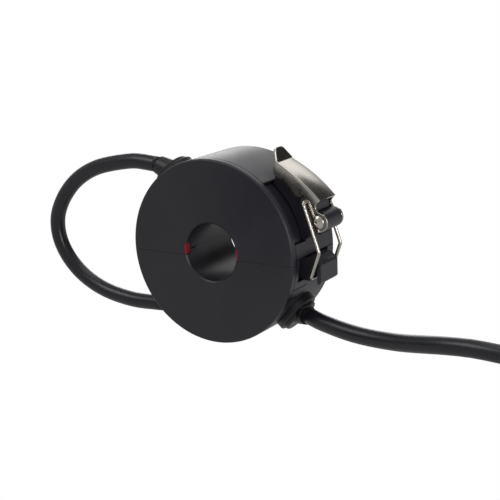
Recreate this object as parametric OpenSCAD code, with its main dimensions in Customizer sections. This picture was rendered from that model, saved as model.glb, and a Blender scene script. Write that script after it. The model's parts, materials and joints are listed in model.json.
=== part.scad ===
// Outdoor split-core current transformer.
// A round housing in two hinged halves closes over a conductor in its window. A stainless draw
// latch pulls the halves together, a cable loop joins their two windings, and a lead leaves below.
// Frame: origin at the middle of the window, Y along the conductor with the front face at -Y,
// Z up with the joint between the halves at z = 0, the latch on the +X side, the hinge on -X.

/* [Housing] */
// Outside diameter of the drum
drum_d = 76; // [74:0.5:80]
// Length of the drum along the conductor
drum_len = 34; // [34:0.5:40]
// Diameter of the window for the conductor
window_d = 24; // [18:0.5:25]
// Thickness of the outer wall
wall = 2.5; // [2:0.1:3]
// Thickness of the wall round the window
window_wall = 2; // [1.5:0.1:2.2]
// Thickness of the front cover plates
cover_t = 3; // [2.5:0.1:4]
// How far the upper cover laps down over the joint
lap = 2; // [1:0.1:3]
// Radius of the rounded outer rims
rim_r = 0.9; // [0.4:0.1:1.4]
// Edge break at both ends of the window
window_edge = 0.5; // [0.3:0.1:0.8]
// Gap shown between parts that close on each other
joint_gap = 0.12; // [0.1:0.01:0.2]
// Depth of the reveal line along the housing's seams
reveal = 0.3; // [0.1:0.05:0.5]
// Depth of the pockets beside the latch stand
pocket_depth = 2; // [1:0.1:2.2]
// Lower end of those pockets, as an angle above the joint
pocket_low = 9; // [8:1:14]
// Upper end of those pockets, as an angle above the joint
pocket_high = 51; // [46:1:54]

/* [Magnetic circuit] */
// Gap between the window's wall and the split core
core_in_gap = 3; // [2.8:0.1:4]
// Gap between the split core and the outer wall
core_out_gap = 8.5; // [7.5:0.1:10]
// Length of the core along the conductor
core_len = 18; // [14:0.5:19]
// Thickness of the winding on the core
winding_t = 2.2; // [1.5:0.1:2.3]
// Angle from the joint at which each winding stops
winding_end = 14; // [12:1:25]
// Width of the sealing gasket
seal_w = 1.6; // [1:0.1:1.8]
// Depth of the gasket's groove
seal_t = 1; // [0.6:0.1:1.5]
// Height of the gasket's end tab above the joint
seal_tab_up = 2.4; // [1:0.1:3]
// Thickness of the gasket's end tab
seal_tab_t = 0.75; // [0.5:0.05:1]

/* [Hinge] */
// Distance of the hinge axis outside the drum
hinge_out = 1.5; // [1.5:0.1:2]
// Outside radius of the hinge knuckles
knuckle_r = 3; // [2.6:0.1:3.2]
// Radius of the hinge pin
hinge_pin_r = 1.5; // [1:0.1:1.7]
// Length of the hinge along the drum
hinge_len = 18; // [12:0.5:18]
// Middle of the hinge along the drum
hinge_mid = 5; // [4.5:0.5:5]

/* [Latch] */
// Lever pivot, out from the drum's side
pivot_out = 5.9; // [5.5:0.1:6.4]
// Lever pivot, above the joint
pivot_z = 14.1; // [13.8:0.1:14.6]
// Bail pivot on the lever, out from the drum's side
hook_out = 0.6; // [0.3:0.1:0.8]
// Bail pivot on the lever, above the joint
hook_z = 21.8; // [21.5:0.1:22.2]
// Outer lower edge of the lever, out from the drum's side
lever_out = 6.8; // [6.4:0.1:7]
// Outer lower edge of the lever, above the joint
lever_z = 22.7; // [22.5:0.1:23]
// Bend of the thumb tab, in from the drum's side
tab_in = 11.4; // [11:0.1:12]
// Bend of the thumb tab, above the joint
tab_z = 36.1; // [36:0.1:36.8]
// Length of the thumb tab
tab_len = 5.4; // [4:0.1:7]
// Width of the lever between its outer faces
lever_w = 13.8; // [13.8:0.1:14]
// Width of the lever at the tab's bend
tab_root_w = 12; // [10:0.5:13]
// Width of the lever at the tab's tip
tab_tip_w = 6; // [4:0.5:8]
// Rise of the lever's crowned back over its chord
crown = 0.9; // [0.5:0.1:1.4]
// Thickness of the stainless sheet
sheet_t = 1; // [0.8:0.1:1.1]
// Depth of the lever's turned-down edges, from its crowned face
flange_h = 2.2; // [1.8:0.1:2.3]
// Radius of the lever's ear round the pivot
ear_r = 4.1; // [3.9:0.1:4.4]
// Radius of the rivet that is the lever's pivot
rivet_r = 1.5; // [1.2:0.1:1.8]
// Radius of the rivet's domed heads
dome_r = 2.7; // [2.4:0.1:3]
// Height of the rivet's domed heads
dome_h = 1.1; // [0.8:0.1:1.1]
// Radius of the barrel that carries the rivet
barrel_r = 4.1; // [3.8:0.1:4.4]
// Diameter of the bail's wire
wire_d = 1.5; // [1.2:0.1:1.5]
// Distance between the centres of the bail's legs
bail_w = 18; // [17.8:0.1:18.5]
// Bend of the bail's legs, out from the drum's side
kink_out = 7.2; // [6.8:0.1:7.6]
// Bend of the bail's legs, above the joint
kink_z = 2.6; // [2:0.1:3.2]
// Crossbar of the bail, out from the drum's side
bar_out = 3.25; // [3.15:0.05:3.35]
// Crossbar of the bail, below the joint
bar_drop = 8.2; // [8:0.1:8.8]
// Width of the keeper block
keeper_w = 14; // [12:0.5:15]
// Outer face of the keeper, out from the drum's side
keeper_out = 6.8; // [6.6:0.1:7.2]
// Lowest edge of the keeper, below the joint
keeper_drop = 10.8; // [10.4:0.1:11.5]
// Thickness of the keeper's hooked lip
lip_t = 1.7; // [1.5:0.1:1.9]

/* [Glands and cables] */
// Diameter of the cable
cable_d = 6.7; // [6.7:0.1:7]
// Diameter of the gland's lower ring
ring_d = 18.4; // [17:0.2:19.4]
// Diameter of the gland's upper ring
step_d = 15.4; // [12:0.1:15.4]
// Height of the gland's lower ring over the drum
ring_h = 2.4; // [2:0.1:2.8]
// Height of the gland's upper ring over the lower one
step_h = 1.6; // [1.2:0.1:1.6]
// Edge break on the gland's rings
ring_edge = 0.5; // [0.2:0.1:0.8]
// Diameter of the gland's spout at its mouth
spout_d = 7.9; // [7.6:0.1:8.6]
// Length of the gland's spout
spout_len = 5.5; // [5:0.1:7]
// Turns that lie beside each other in the stored hank
coil_wide = 2; // [1:1:2]
// Layers of turns in the stored hank
coil_high = 3; // [1:1:3]
// Bend radius at the middle of the hank's turns
coil_r = 23.5; // [22:0.5:27]
// Straight run between the hank's two bends
coil_run = 60; // [48:1:70]
// Width of the tie on the hank
tie_w = 5; // [3:0.5:8]
// Thickness of the tie
tie_t = 0.8; // [0.5:0.1:1]

/* [Hidden] */
$fn = 96;
small = 48;
drum_r = drum_d / 2;
window_r = window_d / 2;
front = -drum_len / 2;
back = drum_len / 2;
shell_front = front + cover_t;
inner_r = drum_r - wall;
tube_r = window_r + window_wall;
core_r_in = tube_r + core_in_gap;
core_w = inner_r - core_out_gap - core_r_in;
far = 3 * drum_d;
fit = 0.05;
pin_clear = 0.05;
run_gap = 0.3;
seat_depth = 2;
tab_sunk = 0.1;
spigot_w = 1.9;
spigot_t = 1.8;
ear_in = lever_w / 2 - sheet_t;
stand_half = ear_in - 0.6;
barrel_half = ear_in - 0.2;
stand_gap = 1.4;
wire_r = wire_d / 2;
hinge_x = drum_r + hinge_out;
lever_x = drum_r + lever_out;
hook_x = drum_r + hook_out;
pivot_x = drum_r + pivot_out;
tab_x = drum_r - tab_in;
kink_x = drum_r + kink_out;
bar_x = drum_r + bar_out;
keeper_x = drum_r + keeper_out;
ring_r_out = drum_r + ring_h;
step_r_out = ring_r_out + step_h;
bend_swell = 0.04;
pocket_edge = cover_t - 0.2;
pivot = [pivot_x, pivot_z];
hook = [hook_x, hook_z];
heel = [lever_x, lever_z];
bend = [tab_x, tab_z];
chord = norm(heel - bend);
along = (bend - heel) / chord;
rise = [along[1], -along[0]];
crown_r = (chord * chord / 4 + crown * crown) / (2 * crown);
crown_c = (heel + bend) / 2 - rise * (crown_r - crown);
tab_dir = [-0.48, 0.877];
tab_out = [tab_dir[1], -tab_dir[0]];
hook_boss = 2.2;
pin_head_r = hinge_pin_r + 0.5;
pin_head_t = 0.8;
pin_head_gap = 0.2;
slot_floor = drum_r - 3;
slot_half = drum_len / 2 - 5.5;
slot_drop = keeper_drop - 1.1;
bar_z = -bar_drop;
bar = [bar_x, bar_z];

// How far the bail would stretch as its pivot passes over the line from the keeper to the
// lever's pivot. The groove gives the crossbar this much play instead, so that a stiff bail
// stays behind the lip through the lever's whole travel, as the sprung one does.
over_centre = norm(pivot - bar) + norm(hook - pivot) - norm(hook - bar);
groove_top = bar_z + wire_r + over_centre + 2 * fit;
groove_w = 3.2;
bevel = 2.8;
crease_depth = 0.3;
crease_w = 0.4;
creases = [-19.5, -25.5];
steel = "silver";
resin = [0.10, 0.10, 0.11];
plastic = [0.16, 0.16, 0.17];
red = [0.75, 0.08, 0.12];

// Each gland: the angle of its seat on the drum and the direction in which the cable leaves
upper_gland_seat = [135, [-0.93, 0, 0.37]];
lower_gland_seat = [-135, [-0.93, 0, -0.37]];
lead_gland_seat = [-41, [0.87, -0.49, 0.04]];
spout_sunk = 3.4;
spout_root = step_r_out - spout_sunk;
spout_root_d = spout_d + 2.6;
plug_depth = 0.6;

// Route of the cable loop between the halves, from the upper gland round to the lower one
loop_route = [
    [-42, 0, 31.2], [-48, 0, 31.5], [-54, 0, 30.8], [-61.5, 0, 29.4], [-69, 0, 27.4],
    [-76, 0, 24.3], [-82.2, 0, 20.2], [-87.4, 0, 15.1], [-91.4, 0, 9.5], [-94, 0, 3.6],
    [-94.6, 0, -2.3], [-93.6, 0, -7.8], [-91.2, 0, -12.9], [-87.8, 0, -17.4], [-83.6, 0, -21.3],
    [-78.6, 0, -24.6], [-72.8, 0, -27.3], [-66.2, 0, -29.3], [-58.5, 0, -30.6], [-50, 0, -31.2]
];
// Route of the lead from its gland to the stored hank
lead_route = [
    [44.3, -7.8, -25.6], [49.8, -9.5, -26.1], [55.6, -11, -26.6], [61.9, -12.3, -27], [68.6, -13.4, -27.1],
    [75.4, -14.7, -26.8], [82.5, -16.4, -26.1], [89.7, -18.4, -24.9], [96.7, -20.3, -23.6], [103.6, -21.8, -22.5],
    [113.5, -23.1, -21.6], [124.8, -23.7, -21.9], [135, -23.6, -23.1], [144.5, -23.2, -25], [153, -22.8, -26.6]
];

coil_in = [161, -22.7];
coil_sec_w = coil_wide * cable_d;
coil_sec_h = coil_high * cable_d;
coil_turn_r = coil_r + (coil_sec_w - cable_d) / 2;
coil_at = [coil_in[0] + coil_run / 2, coil_in[1] + coil_turn_r];
floor_z = -drum_r;
coil_z = floor_z + tie_t;
tie_slack = 0.25;
tail_len = 26;
core_len_bare = 15;
strand_d = 2.2;
core_apart = 1.4;
core_sunk = 1;

// A flat outline in X and Z, drawn out along Y from y0 to y1
module between(y0, y1) {
    translate([0, y1, 0])
        rotate([90, 0, 0])
            linear_extrude(y1 - y0)
                children();
}

// A body of revolution about the conductor's axis, drawn as radius and place along Y
module turned() {
    rotate([-90, 0, 0])
        rotate_extrude()
            children();
}

// Everything above a height
module above(z) {
    translate([-far / 2, -far / 2, z])
        cube([far, far, far]);
}

// Everything below a height
module below(z) {
    translate([-far / 2, -far / 2, z - far])
        cube([far, far, far]);
}

// A round rod between two points
module rod(a, b, r) {
    v = b - a;
    translate(a)
        rotate([0, acos(v[2] / norm(v)), atan2(v[1], v[0])])
            cylinder(r = r, h = norm(v), $fn = small);
}

// A cylinder along Y
module barrel(x, z, r, y0, y1) {
    translate([x, y1, z])
        rotate([90, 0, 0])
            cylinder(r = r, h = y1 - y0, $fn = small);
}

// Half section of a ring with an optional rounded outer corner at one end
module ring_section(r0, r1, y0, y1, round_at, r) {
    difference() {
        translate([r0, y0])
            square([r1 - r0, y1 - y0]);
        translate([r1 - r, round_at < 0 ? y0 : y1 - r])
            difference() {
                translate([0, round_at < 0 ? -1 : 0])
                    square([r + 1, r + 1]);
                translate([0, round_at < 0 ? r : 0])
                    circle(r = r, $fn = small);
            }
    }
}

// Break of the window's edge at one end, as a ring section to cut away
module edge_break(y, inward) {
    polygon([
        [window_r - 1, y - inward],
        [window_r - 1, y + inward * (window_edge + 1)],
        [window_r, y + inward * window_edge],
        [window_r + window_edge, y],
        [window_r + window_edge, y - inward]
    ]);
}

// The whole moulded drum behind the cover plates, before it is cut at the joint
module drum() {
    turned()
        difference() {
            ring_section(window_r, drum_r, shell_front, back, 1, rim_r);
            edge_break(back, -1);
            translate([tube_r, shell_front - 1])
                square([inner_r - tube_r, back - wall - shell_front + 1]);
            translate([drum_r - reveal, shell_front - 1])
                square([1, 1 + reveal / 2]);
        }
}

// The reveal line along the joint between the halves, to cut from the drum
module joint_line() {
    difference() {
        translate([-far / 2, shell_front - 1, -reveal / 2])
            cube([far, drum_len + 2, reveal]);
        turned()
            translate([0, -far])
                square([drum_r - reveal, 2 * far]);
    }
}

// The pockets in the drum on both sides of the latch stand
module pockets() {
    for (side = [-1, 1])
        intersection() {
            turned()
                translate([drum_r - pocket_depth, side < 0 ? shell_front - 1 : stand_half])
                    square([pocket_depth + 1, -shell_front + 1 - stand_half]);
            pocket_span();
        }
}

// The span of angles that a pocket covers
module pocket_span() {
    between(-far / 2, far / 2)
        polygon([
            [0, 0],
            [far * cos(pocket_low), far * sin(pocket_low)],
            [far * cos(pocket_high), far * sin(pocket_high)]
        ]);
}

// Local thickening inside the wall behind the pockets
module pocket_backing() {
    turned()
        translate([inner_r - pocket_depth, shell_front + seat_depth])
            square([pocket_depth + fit, back - wall - shell_front - seat_depth + fit]);
}

// The stand under the lever and the barrel that carries its rivet
module latch_stand() {
    under = -rise * (sheet_t + stand_gap);
    between(-stand_half, stand_half)
        polygon([
            [bend[0] - 2.2, inner_r * 0.76],
            [bend[0] - 2.2, bend[1] - 2.6],
            bend + under + [-0.4, 0.2],
            (bend + heel) / 2 + under + rise * crown * 0.8,
            heel + under + along * 1.4,
            pivot + [-1, barrel_r - 1],
            pivot + [0, -barrel_r + 0.4],
            pivot + [-2.6, -barrel_r - 1],
            [drum_r - 0.6, pivot[1] - barrel_r - 3.4],
            [inner_r - 1, pivot[1] - barrel_r - 3.4]
        ]);
    barrel(pivot[0], pivot[1], barrel_r, -barrel_half, barrel_half);
}

// Knuckles of the hinge that belong to one half
module knuckles(spans) {
    for (s = spans)
        barrel(-hinge_x, 0, knuckle_r, s[0], s[1]);
}

// Room for the other half's knuckles
module knuckle_room(spans) {
    for (s = spans)
        barrel(-hinge_x, 0, knuckle_r + run_gap, s[0] - run_gap, s[1] + run_gap);
}

third = hinge_len / 3;
hinge_lo = hinge_mid - hinge_len / 2;
upper_spans = [[hinge_lo, hinge_lo + third - run_gap], [hinge_lo + 2 * third + run_gap, hinge_lo + hinge_len]];
lower_spans = [[hinge_lo + third, hinge_lo + 2 * third]];

// Webs that tie the knuckles to the wall of their half
module knuckle_webs(spans, up) {
    for (s = spans)
        intersection() {
            between(s[0], s[1])
                translate([-hinge_x, up > 0 ? 0 : -knuckle_r - 2])
                    square([knuckle_r + 1, knuckle_r + 2]);
            turned()
                translate([inner_r, s[0]])
                    square([hinge_x - inner_r, s[1] - s[0]]);
        }
}

// Bore for the hinge pin through the knuckles, with room for the pin's heads at both ends
module hinge_bore() {
    end = hinge_lo + hinge_len;
    reach = pin_head_t + 2 * pin_head_gap;
    barrel(-hinge_x, 0, hinge_pin_r + pin_clear, hinge_lo - reach, end + reach);
    for (y = [hinge_lo - reach, end])
        barrel(-hinge_x, 0, pin_head_r + run_gap, y, y + reach);
}

// Seat for a gland: a bore through the outer wall, a little into the resin
module gland_seat(g) {
    rotate([0, 90 - g[0], 0])
        translate([0, 0, inner_r - plug_depth - fit])
            cylinder(r = step_d / 2 + fit, h = far, $fn = small);
}

module upper_shell() {
    color(plastic)
        difference() {
            union() {
                difference() {
                    intersection() {
                        union() {
                            drum();
                            intersection() {
                                pocket_backing();
                                pocket_span();
                            }
                        }
                        above(0);
                    }
                    pockets();
                    knuckle_room(lower_spans);
                    joint_line();
                }
                latch_stand();
                knuckles(upper_spans);
                intersection() {
                    knuckle_webs(upper_spans, 1);
                    above(0);
                }
            }
            barrel(pivot[0], pivot[1], rivet_r + pin_clear, -far, far);
            hinge_bore();
            gland_seat(upper_gland_seat);
        }
}

// The keeper block with the hooked lip that the bail's crossbar pulls against
module keeper() {
    between(-keeper_w / 2, keeper_w / 2)
        polygon([
            [slot_floor - 0.5, -joint_gap * 3],
            [keeper_x - bevel, -joint_gap * 3],
            [keeper_x, -joint_gap * 3 - bevel],
            [keeper_x, -keeper_drop + 0.8],
            [keeper_x - 0.8, -keeper_drop],
            [keeper_x - lip_t, -keeper_drop],
            [keeper_x - lip_t, groove_top],
            [keeper_x - lip_t - groove_w, groove_top],
            [keeper_x - lip_t - groove_w, -slot_drop],
            [slot_floor - 0.5, -slot_drop]
        ]);
}

// The recess in the lower wall round the keeper
module keeper_slot() {
    translate([slot_floor, -slot_half, -slot_drop])
        cube([far, 2 * slot_half, slot_drop + 1]);
}

// Backing inside the wall behind the recess
module slot_backing(grow) {
    intersection() {
        turned()
            translate([slot_floor - wall - grow, shell_front + seat_depth - grow])
                square([drum_r - rim_r - slot_floor + wall, back - wall - shell_front - seat_depth + 2 * fit]);
        translate([0, -far / 2, -slot_drop - wall - grow])
            cube([far, far, slot_drop + wall + 1]);
    }
}

// Two fine creases along the lower wall below the keeper
module wall_creases() {
    for (a = creases)
        rotate([0, -a, 0])
            translate([drum_r - crease_depth, shell_front, -crease_w / 2])
                cube([1, slot_half, crease_w]);
}

module lower_shell() {
    color(plastic)
        difference() {
            union() {
                difference() {
                    intersection() {
                        union() {
                            drum();
                            slot_backing(0);
                        }
                        below(0);
                    }
                    keeper_slot();
                    knuckle_room(upper_spans);
                    wall_creases();
                    joint_line();
                }
                keeper();
                knuckles(lower_spans);
                intersection() {
                    knuckle_webs(lower_spans, -1);
                    below(0);
                }
            }
            hinge_bore();
            gland_seat(lower_gland_seat);
            gland_seat(lead_gland_seat);
            seal_room(-1);
            seal_room(1);
        }
}

// One whole cover plate with its locating spigot, before it is cut at the joint
module cover_plate() {
    turned()
        difference() {
            union() {
                ring_section(window_r, drum_r, front, shell_front, -1, rim_r);
                translate([inner_r - spigot_w - fit, shell_front - fit])
                    square([spigot_w, spigot_t + fit]);
            }
            edge_break(front, 1);
            translate([drum_r - reveal, shell_front - reveal / 2])
                square([1, reveal]);
        }
}

module upper_cover() {
    color(plastic)
        difference() {
            intersection() {
                cover_plate();
                union() {
                    above(0);
                    translate([-far / 2, front - 1, -lap])
                        cube([far, cover_t + 1 - joint_gap, lap + 1]);
                }
            }
            for (side = [-1, 1])
                tab_notch(side);
        }
}

module lower_cover() {
    color(plastic)
        intersection() {
            cover_plate();
            below(-lap - joint_gap);
        }
}

// The seat of a gasket's end tab at the window's edge
module tab_notch(side) {
    scale_x = side < 0 ? 1 : 0;
    mirror([scale_x, 0, 0])
        translate([0, front - 1, -lap - 1])
            cube([window_r + seal_tab_t + joint_gap, cover_t + 2, lap + 1 + seal_tab_up + joint_gap]);
}

// Half of the ring-shaped core, before it is cut at the joint
module core_ring() {
    turned()
        translate([core_r_in, -core_len / 2])
            square([core_w, core_len]);
}

module upper_core() {
    color("dimgray")
        intersection() {
            core_ring();
            above(0);
        }
}

module lower_core() {
    color("dimgray")
        intersection() {
            core_ring();
            below(0);
        }
}

// The winding's envelope on both arms of the ring, grown by a clearance
module winding_form(extra) {
    turned()
        difference() {
            translate([core_r_in - winding_t - extra, -core_len / 2 - winding_t - extra])
                square([core_w + 2 * (winding_t + extra), core_len + 2 * (winding_t + extra)]);
            translate([core_r_in - fit + extra, -core_len / 2 - fit + extra])
                square([core_w + 2 * (fit - extra), core_len + 2 * (fit - extra)]);
        }
}

// The wedge of angles that the winding fills, above or below the joint
module winding_wedge(up, extra) {
    a = winding_end - extra * 2;
    between(-far / 2, far / 2)
        polygon([[0, 0], [far * cos(a), up * far * sin(a)], [0, up * far * 2], [-far * cos(a), up * far * sin(a)]]);
}

module upper_winding() {
    color("chocolate")
        intersection() {
            winding_form(0);
            winding_wedge(1, 0);
        }
}

module lower_winding() {
    color("chocolate")
        intersection() {
            winding_form(0);
            winding_wedge(-1, 0);
        }
}

// The resin that fills the housing round the core and winding
module potting_fill() {
    turned()
        difference() {
            translate([tube_r + fit, shell_front + seat_depth])
                square([inner_r - tube_r - 2 * fit, back - wall - fit - shell_front - seat_depth]);
            translate([core_r_in - fit, -core_len / 2 - fit])
                square([core_w + 2 * fit, core_len + 2 * fit]);
        }
}

// What both halves' resin leaves free: the winding and the ends of the glands
module potting_room(up) {
    intersection() {
        turned()
            translate([core_r_in - winding_t - fit, -core_len / 2 - winding_t - fit])
                square([core_w + 2 * (winding_t + fit), core_len + 2 * (winding_t + fit)]);
        winding_wedge(up, fit);
    }
}

module upper_potting() {
    color(resin)
        difference() {
            intersection() {
                potting_fill();
                above(0);
            }
            potting_room(1);
            intersection() {
                turned()
                    translate([inner_r - pocket_depth - fit, front])
                        square([pocket_depth + 1, drum_len]);
                pocket_span();
            }
            stand_room();
            gland_seat(upper_gland_seat);
        }
}

// Room behind the wall for the foot of the latch stand
module stand_room() {
    translate([inner_r * 0.5, -stand_half - fit, 0])
        intersection() {
            cube([far, 2 * (stand_half + fit), far]);
            translate([-inner_r * 0.5, 0, 0])
                between(0, 2 * (stand_half + fit))
                    polygon([
                        [bend[0] - 2.2 - fit, far],
                        [bend[0] - 2.2 - fit, inner_r * 0.76 - 0.2],
                        [inner_r - 1 - fit, pivot[1] - barrel_r - 3.4 - 0.2],
                        [far, pivot[1] - barrel_r - 3.4 - 0.2],
                        [far, far]
                    ]);
        }
}

module lower_potting() {
    color(resin)
        difference() {
            intersection() {
                potting_fill();
                below(0);
            }
            potting_room(-1);
            slot_backing(fit);
            gland_seat(lower_gland_seat);
            gland_seat(lead_gland_seat);
            seal_room(-1);
            seal_room(1);
        }
}

// Outline of one gasket at the joint: a frame round the core's face and a tongue to the window
module seal_outline(grow) {
    x0 = core_r_in - 0.6;
    x1 = core_r_in + core_w + 0.6;
    y1 = core_len / 2 + 0.6;
    difference() {
        translate([x0 - seal_w - grow, -y1 - seal_w - grow])
            square([x1 - x0 + 2 * (seal_w + grow), 2 * (y1 + seal_w + grow)]);
        translate([x0 + grow, -y1 + grow])
            square([x1 - x0 - 2 * grow, 2 * (y1 - grow)]);
    }
    translate([window_r + fit - grow, shell_front])
        square([x0 - window_r + 2 * grow - fit, -y1 - shell_front]);
}

// Groove that a gasket lies in
module seal_room(side) {
    mirror([side < 0 ? 1 : 0, 0, 0])
        translate([0, 0, -seal_t - fit])
            linear_extrude(seal_t + 1)
                seal_outline(fit);
}

// One gasket: its flat frame and the tab that shows at the window's front edge
module seal(side) {
    mirror([side < 0 ? 1 : 0, 0, 0]) {
        translate([0, 0, -seal_t])
            linear_extrude(seal_t)
                seal_outline(0);
        translate([window_r + fit, front + tab_sunk, -lap + fit])
            cube([seal_tab_t, cover_t - tab_sunk - fit, lap - fit + seal_tab_up]);
        translate([window_r + fit, shell_front - seal_t, -seal_t])
            cube([seal_tab_t, 2 * seal_t, seal_t]);
    }
}

module left_seal() {
    color(red)
        seal(-1);
}

module right_seal() {
    color(red)
        seal(1);
}

module hinge_pin() {
    color(steel) {
        barrel(-hinge_x, 0, hinge_pin_r, hinge_lo - 2 * pin_head_gap, hinge_lo + hinge_len + 2 * pin_head_gap);
        for (y = [hinge_lo - pin_head_gap - pin_head_t, hinge_lo + hinge_len + pin_head_gap])
            barrel(-hinge_x, 0, pin_head_r, y, y + pin_head_t);
    }
}

// The lever's crowned back in side view, as a band between two depths under its face
module crown_band(top, bottom, start, end) {
    intersection() {
        difference() {
            translate(crown_c)
                circle(r = crown_r - top, $fn = 360);
            translate(crown_c)
                circle(r = crown_r - bottom, $fn = 360);
        }
        polygon([crown_c, crown_c + (start - crown_c) * 1.2, crown_c + (end - crown_c) * 1.2]);
    }
}

// The thumb tab and its bend in side view
module lever_tab() {
    translate(bend - tab_out * sheet_t)
        circle(r = sheet_t * 0.98, $fn = small);
    polygon([
        bend - tab_out * sheet_t * 2,
        bend - tab_out * sheet_t * 2 + tab_dir * tab_len,
        bend - tab_out * sheet_t + tab_dir * tab_len,
        bend - tab_out * sheet_t
    ]);
}

// The lever's outline in plan with its sides drawn in, as a prism along its thickness
module lever_plan(inset) {
    wide = lever_w / 2 - inset;
    root = tab_root_w / 2 - inset;
    end = tab_tip_w / 2 - inset;
    straight = chord * 0.45;
    tip = chord + tab_len * 0.92;
    translate([heel[0], 0, heel[1]])
        rotate([0, atan2(-along[1], along[0]), 0])
            linear_extrude(2 * chord, center = true)
                polygon([
                    [-5, -wide],
                    [straight, -wide],
                    [chord - 0.5, -root],
                    [chord + 1, -root],
                    [tip, -end],
                    [tip, end],
                    [chord + 1, root],
                    [chord - 0.5, root],
                    [straight, wide],
                    [-5, wide]
                ]);
}

// One ear of the lever: it hangs from the back, carries the bail and turns on the rivet
module ear_outline() {
    difference() {
        union() {
            translate(pivot)
                circle(r = ear_r, $fn = small);
            translate(hook)
                circle(r = hook_boss, $fn = small);
            polygon([
                heel - rise * 0.3,
                heel + [-1.1, -1.3],
                heel + [-1.8, -2.6],
                heel + [-1.2, -3.7],
                pivot + ear_r * [cos(48), sin(48)],
                pivot,
                pivot + ear_r * [cos(197), sin(197)],
                hook + hook_boss * [cos(197), sin(197)],
                hook + hook_boss * [cos(120), sin(120)],
                heel + along * chord * 0.4 - rise * sheet_t * 0.6
            ]);
        }
        translate(pivot)
            circle(r = rivet_r + pin_clear, $fn = small);
        translate(hook)
            circle(r = wire_r + pin_clear, $fn = small);
    }
}

module latch_lever() {
    half = lever_w / 2;
    color(steel) {
        intersection() {
            between(-half, half) {
                crown_band(0, sheet_t, heel, bend);
                lever_tab();
            }
            lever_plan(0);
        }
        difference() {
            intersection() {
                between(-half, half)
                    crown_band(sheet_t * 0.6, flange_h, heel + along * flange_h, bend - along * flange_h);
                lever_plan(0);
            }
            intersection() {
                between(-half, half)
                    crown_band(sheet_t * 0.3, flange_h * 1.5, heel, bend);
                lever_plan(sheet_t * 0.9);
            }
        }
        for (side = [-1, 1])
            between(side < 0 ? -half : ear_in, side < 0 ? -ear_in : half)
                ear_outline();
    }
}

// A domed rivet head that stands out from an ear
module dome(side) {
    sphere_r = (dome_r * dome_r + dome_h * dome_h) / (2 * dome_h);
    translate([pivot[0], side * (lever_w / 2 + fit), pivot[1]])
        rotate([-90 * side, 0, 0])
            rotate_extrude($fn = small)
                intersection() {
                    translate([0, dome_h - sphere_r])
                        circle(r = sphere_r, $fn = 180);
                    square([dome_r + 1, dome_h]);
                }
}

module latch_pin() {
    color(steel) {
        barrel(pivot[0], pivot[1], rivet_r, -lever_w / 2 - 0.3, lever_w / 2 + 0.3);
        dome(-1);
        dome(1);
    }
}

module latch_bail() {
    half = bail_w / 2;
    color(steel) {
        for (side = [-1, 1]) {
            top = [hook[0], side * half, hook[1]];
            kink = [kink_x, side * half, kink_z];
            foot = [bar_x, side * half, bar_z];
            rod([hook[0], side * (ear_in - 0.3), hook[1]], top, wire_r);
            rod(top, kink, wire_r);
            rod(kink, foot, wire_r);
            for (p = [top, kink, foot])
                translate(p)
                    sphere(r = wire_r + bend_swell, $fn = small);
        }
        rod([bar_x, -half, bar_z], [bar_x, half, bar_z], wire_r);
    }
}

// A disc with a broken upper edge, between two heights
module edged_ring(d, z0, z1) {
    translate([0, 0, z0])
        cylinder(d = d, h = z1 - ring_edge - z0, $fn = small);
    translate([0, 0, z1 - ring_edge])
        cylinder(d1 = d, d2 = d - 2 * ring_edge, h = ring_edge, $fn = small);
}

// A moulded gland: two stepped rings on the wall and a tapered spout that points along the cable
module gland(g) {
    root = spout_root * [cos(g[0]), 0, sin(g[0])];
    d = g[1] / norm(g[1]);
    rotate([0, 90 - g[0], 0])
        edged_ring(step_d - fit, inner_r - plug_depth, step_r_out);
    difference() {
        union() {
            rotate([0, 90 - g[0], 0])
                edged_ring(ring_d, inner_r, ring_r_out);
            translate(root)
                rotate([0, acos(d[2]), atan2(d[1], d[0])])
                    cylinder(d1 = spout_root_d, d2 = spout_d, h = spout_len + spout_sunk, $fn = small);
        }
        turned()
            translate([0, -far])
                square([drum_r + fit, 2 * far]);
    }
}

// Where a gland's spout ends and its cable starts
function mouth(g) = spout_root * [cos(g[0]), 0, sin(g[0])] + (spout_len + spout_sunk) * g[1] / norm(g[1]);

module upper_gland() {
    color(plastic)
        gland(upper_gland_seat);
}

module lower_gland() {
    color(plastic)
        gland(lower_gland_seat);
}

module lead_gland() {
    color(plastic)
        gland(lead_gland_seat);
}

// Unit vector, and the sideways and upward directions of a ring of the tube
function unit(v) = v / norm(v);
function tangent(p, i) = unit(p[min(i + 1, len(p) - 1)] - p[max(i - 1, 0)]);
function sideways(t) = unit(cross(t, abs(t[1]) > 0.9 ? [1, 0, 0] : [0, 1, 0]));

// A tube of round section along a route, with square ends
module tube(route, d, first, last, sides = 10) {
    n = len(route);
    rings = [
        for (i = [0 : n - 1])
            let (t = i == 0 ? first : i == n - 1 ? last : tangent(route, i),
                 s = sideways(t),
                 u = cross(s, t))
            [for (k = [0 : sides - 1])
                route[i] + d / 2 * (cos(k * 360 / sides) * s + sin(k * 360 / sides) * u)]
    ];
    points = [for (r = rings) each r];
    ends = [
        [for (k = [sides - 1 : -1 : 0]) k],
        [for (k = [0 : sides - 1]) (n - 1) * sides + k]
    ];
    skin = [
        for (i = [0 : n - 2]) for (k = [0 : sides - 1])
            let (a = i * sides + k, b = i * sides + (k + 1) % sides)
            each [[a, b + sides, a + sides], [a, b, b + sides]]
    ];
    polyhedron(points, concat(ends, skin));
}

module link_cable() {
    start = mouth(upper_gland_seat);
    finish = mouth(lower_gland_seat);
    color(plastic)
        tube(
            concat([start], loop_route, [finish]),
            cable_d,
            unit(upper_gland_seat[1]),
            -unit(lower_gland_seat[1])
        );
}

coil_entry = [coil_in[0], coil_in[1], coil_z + coil_sec_h / 2];

module output_lead() {
    color(plastic)
        tube(
            concat([mouth(lead_gland_seat)], lead_route, [coil_entry]),
            cable_d,
            unit(lead_gland_seat[1]),
            [1, 0, 0]
        );
}

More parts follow.
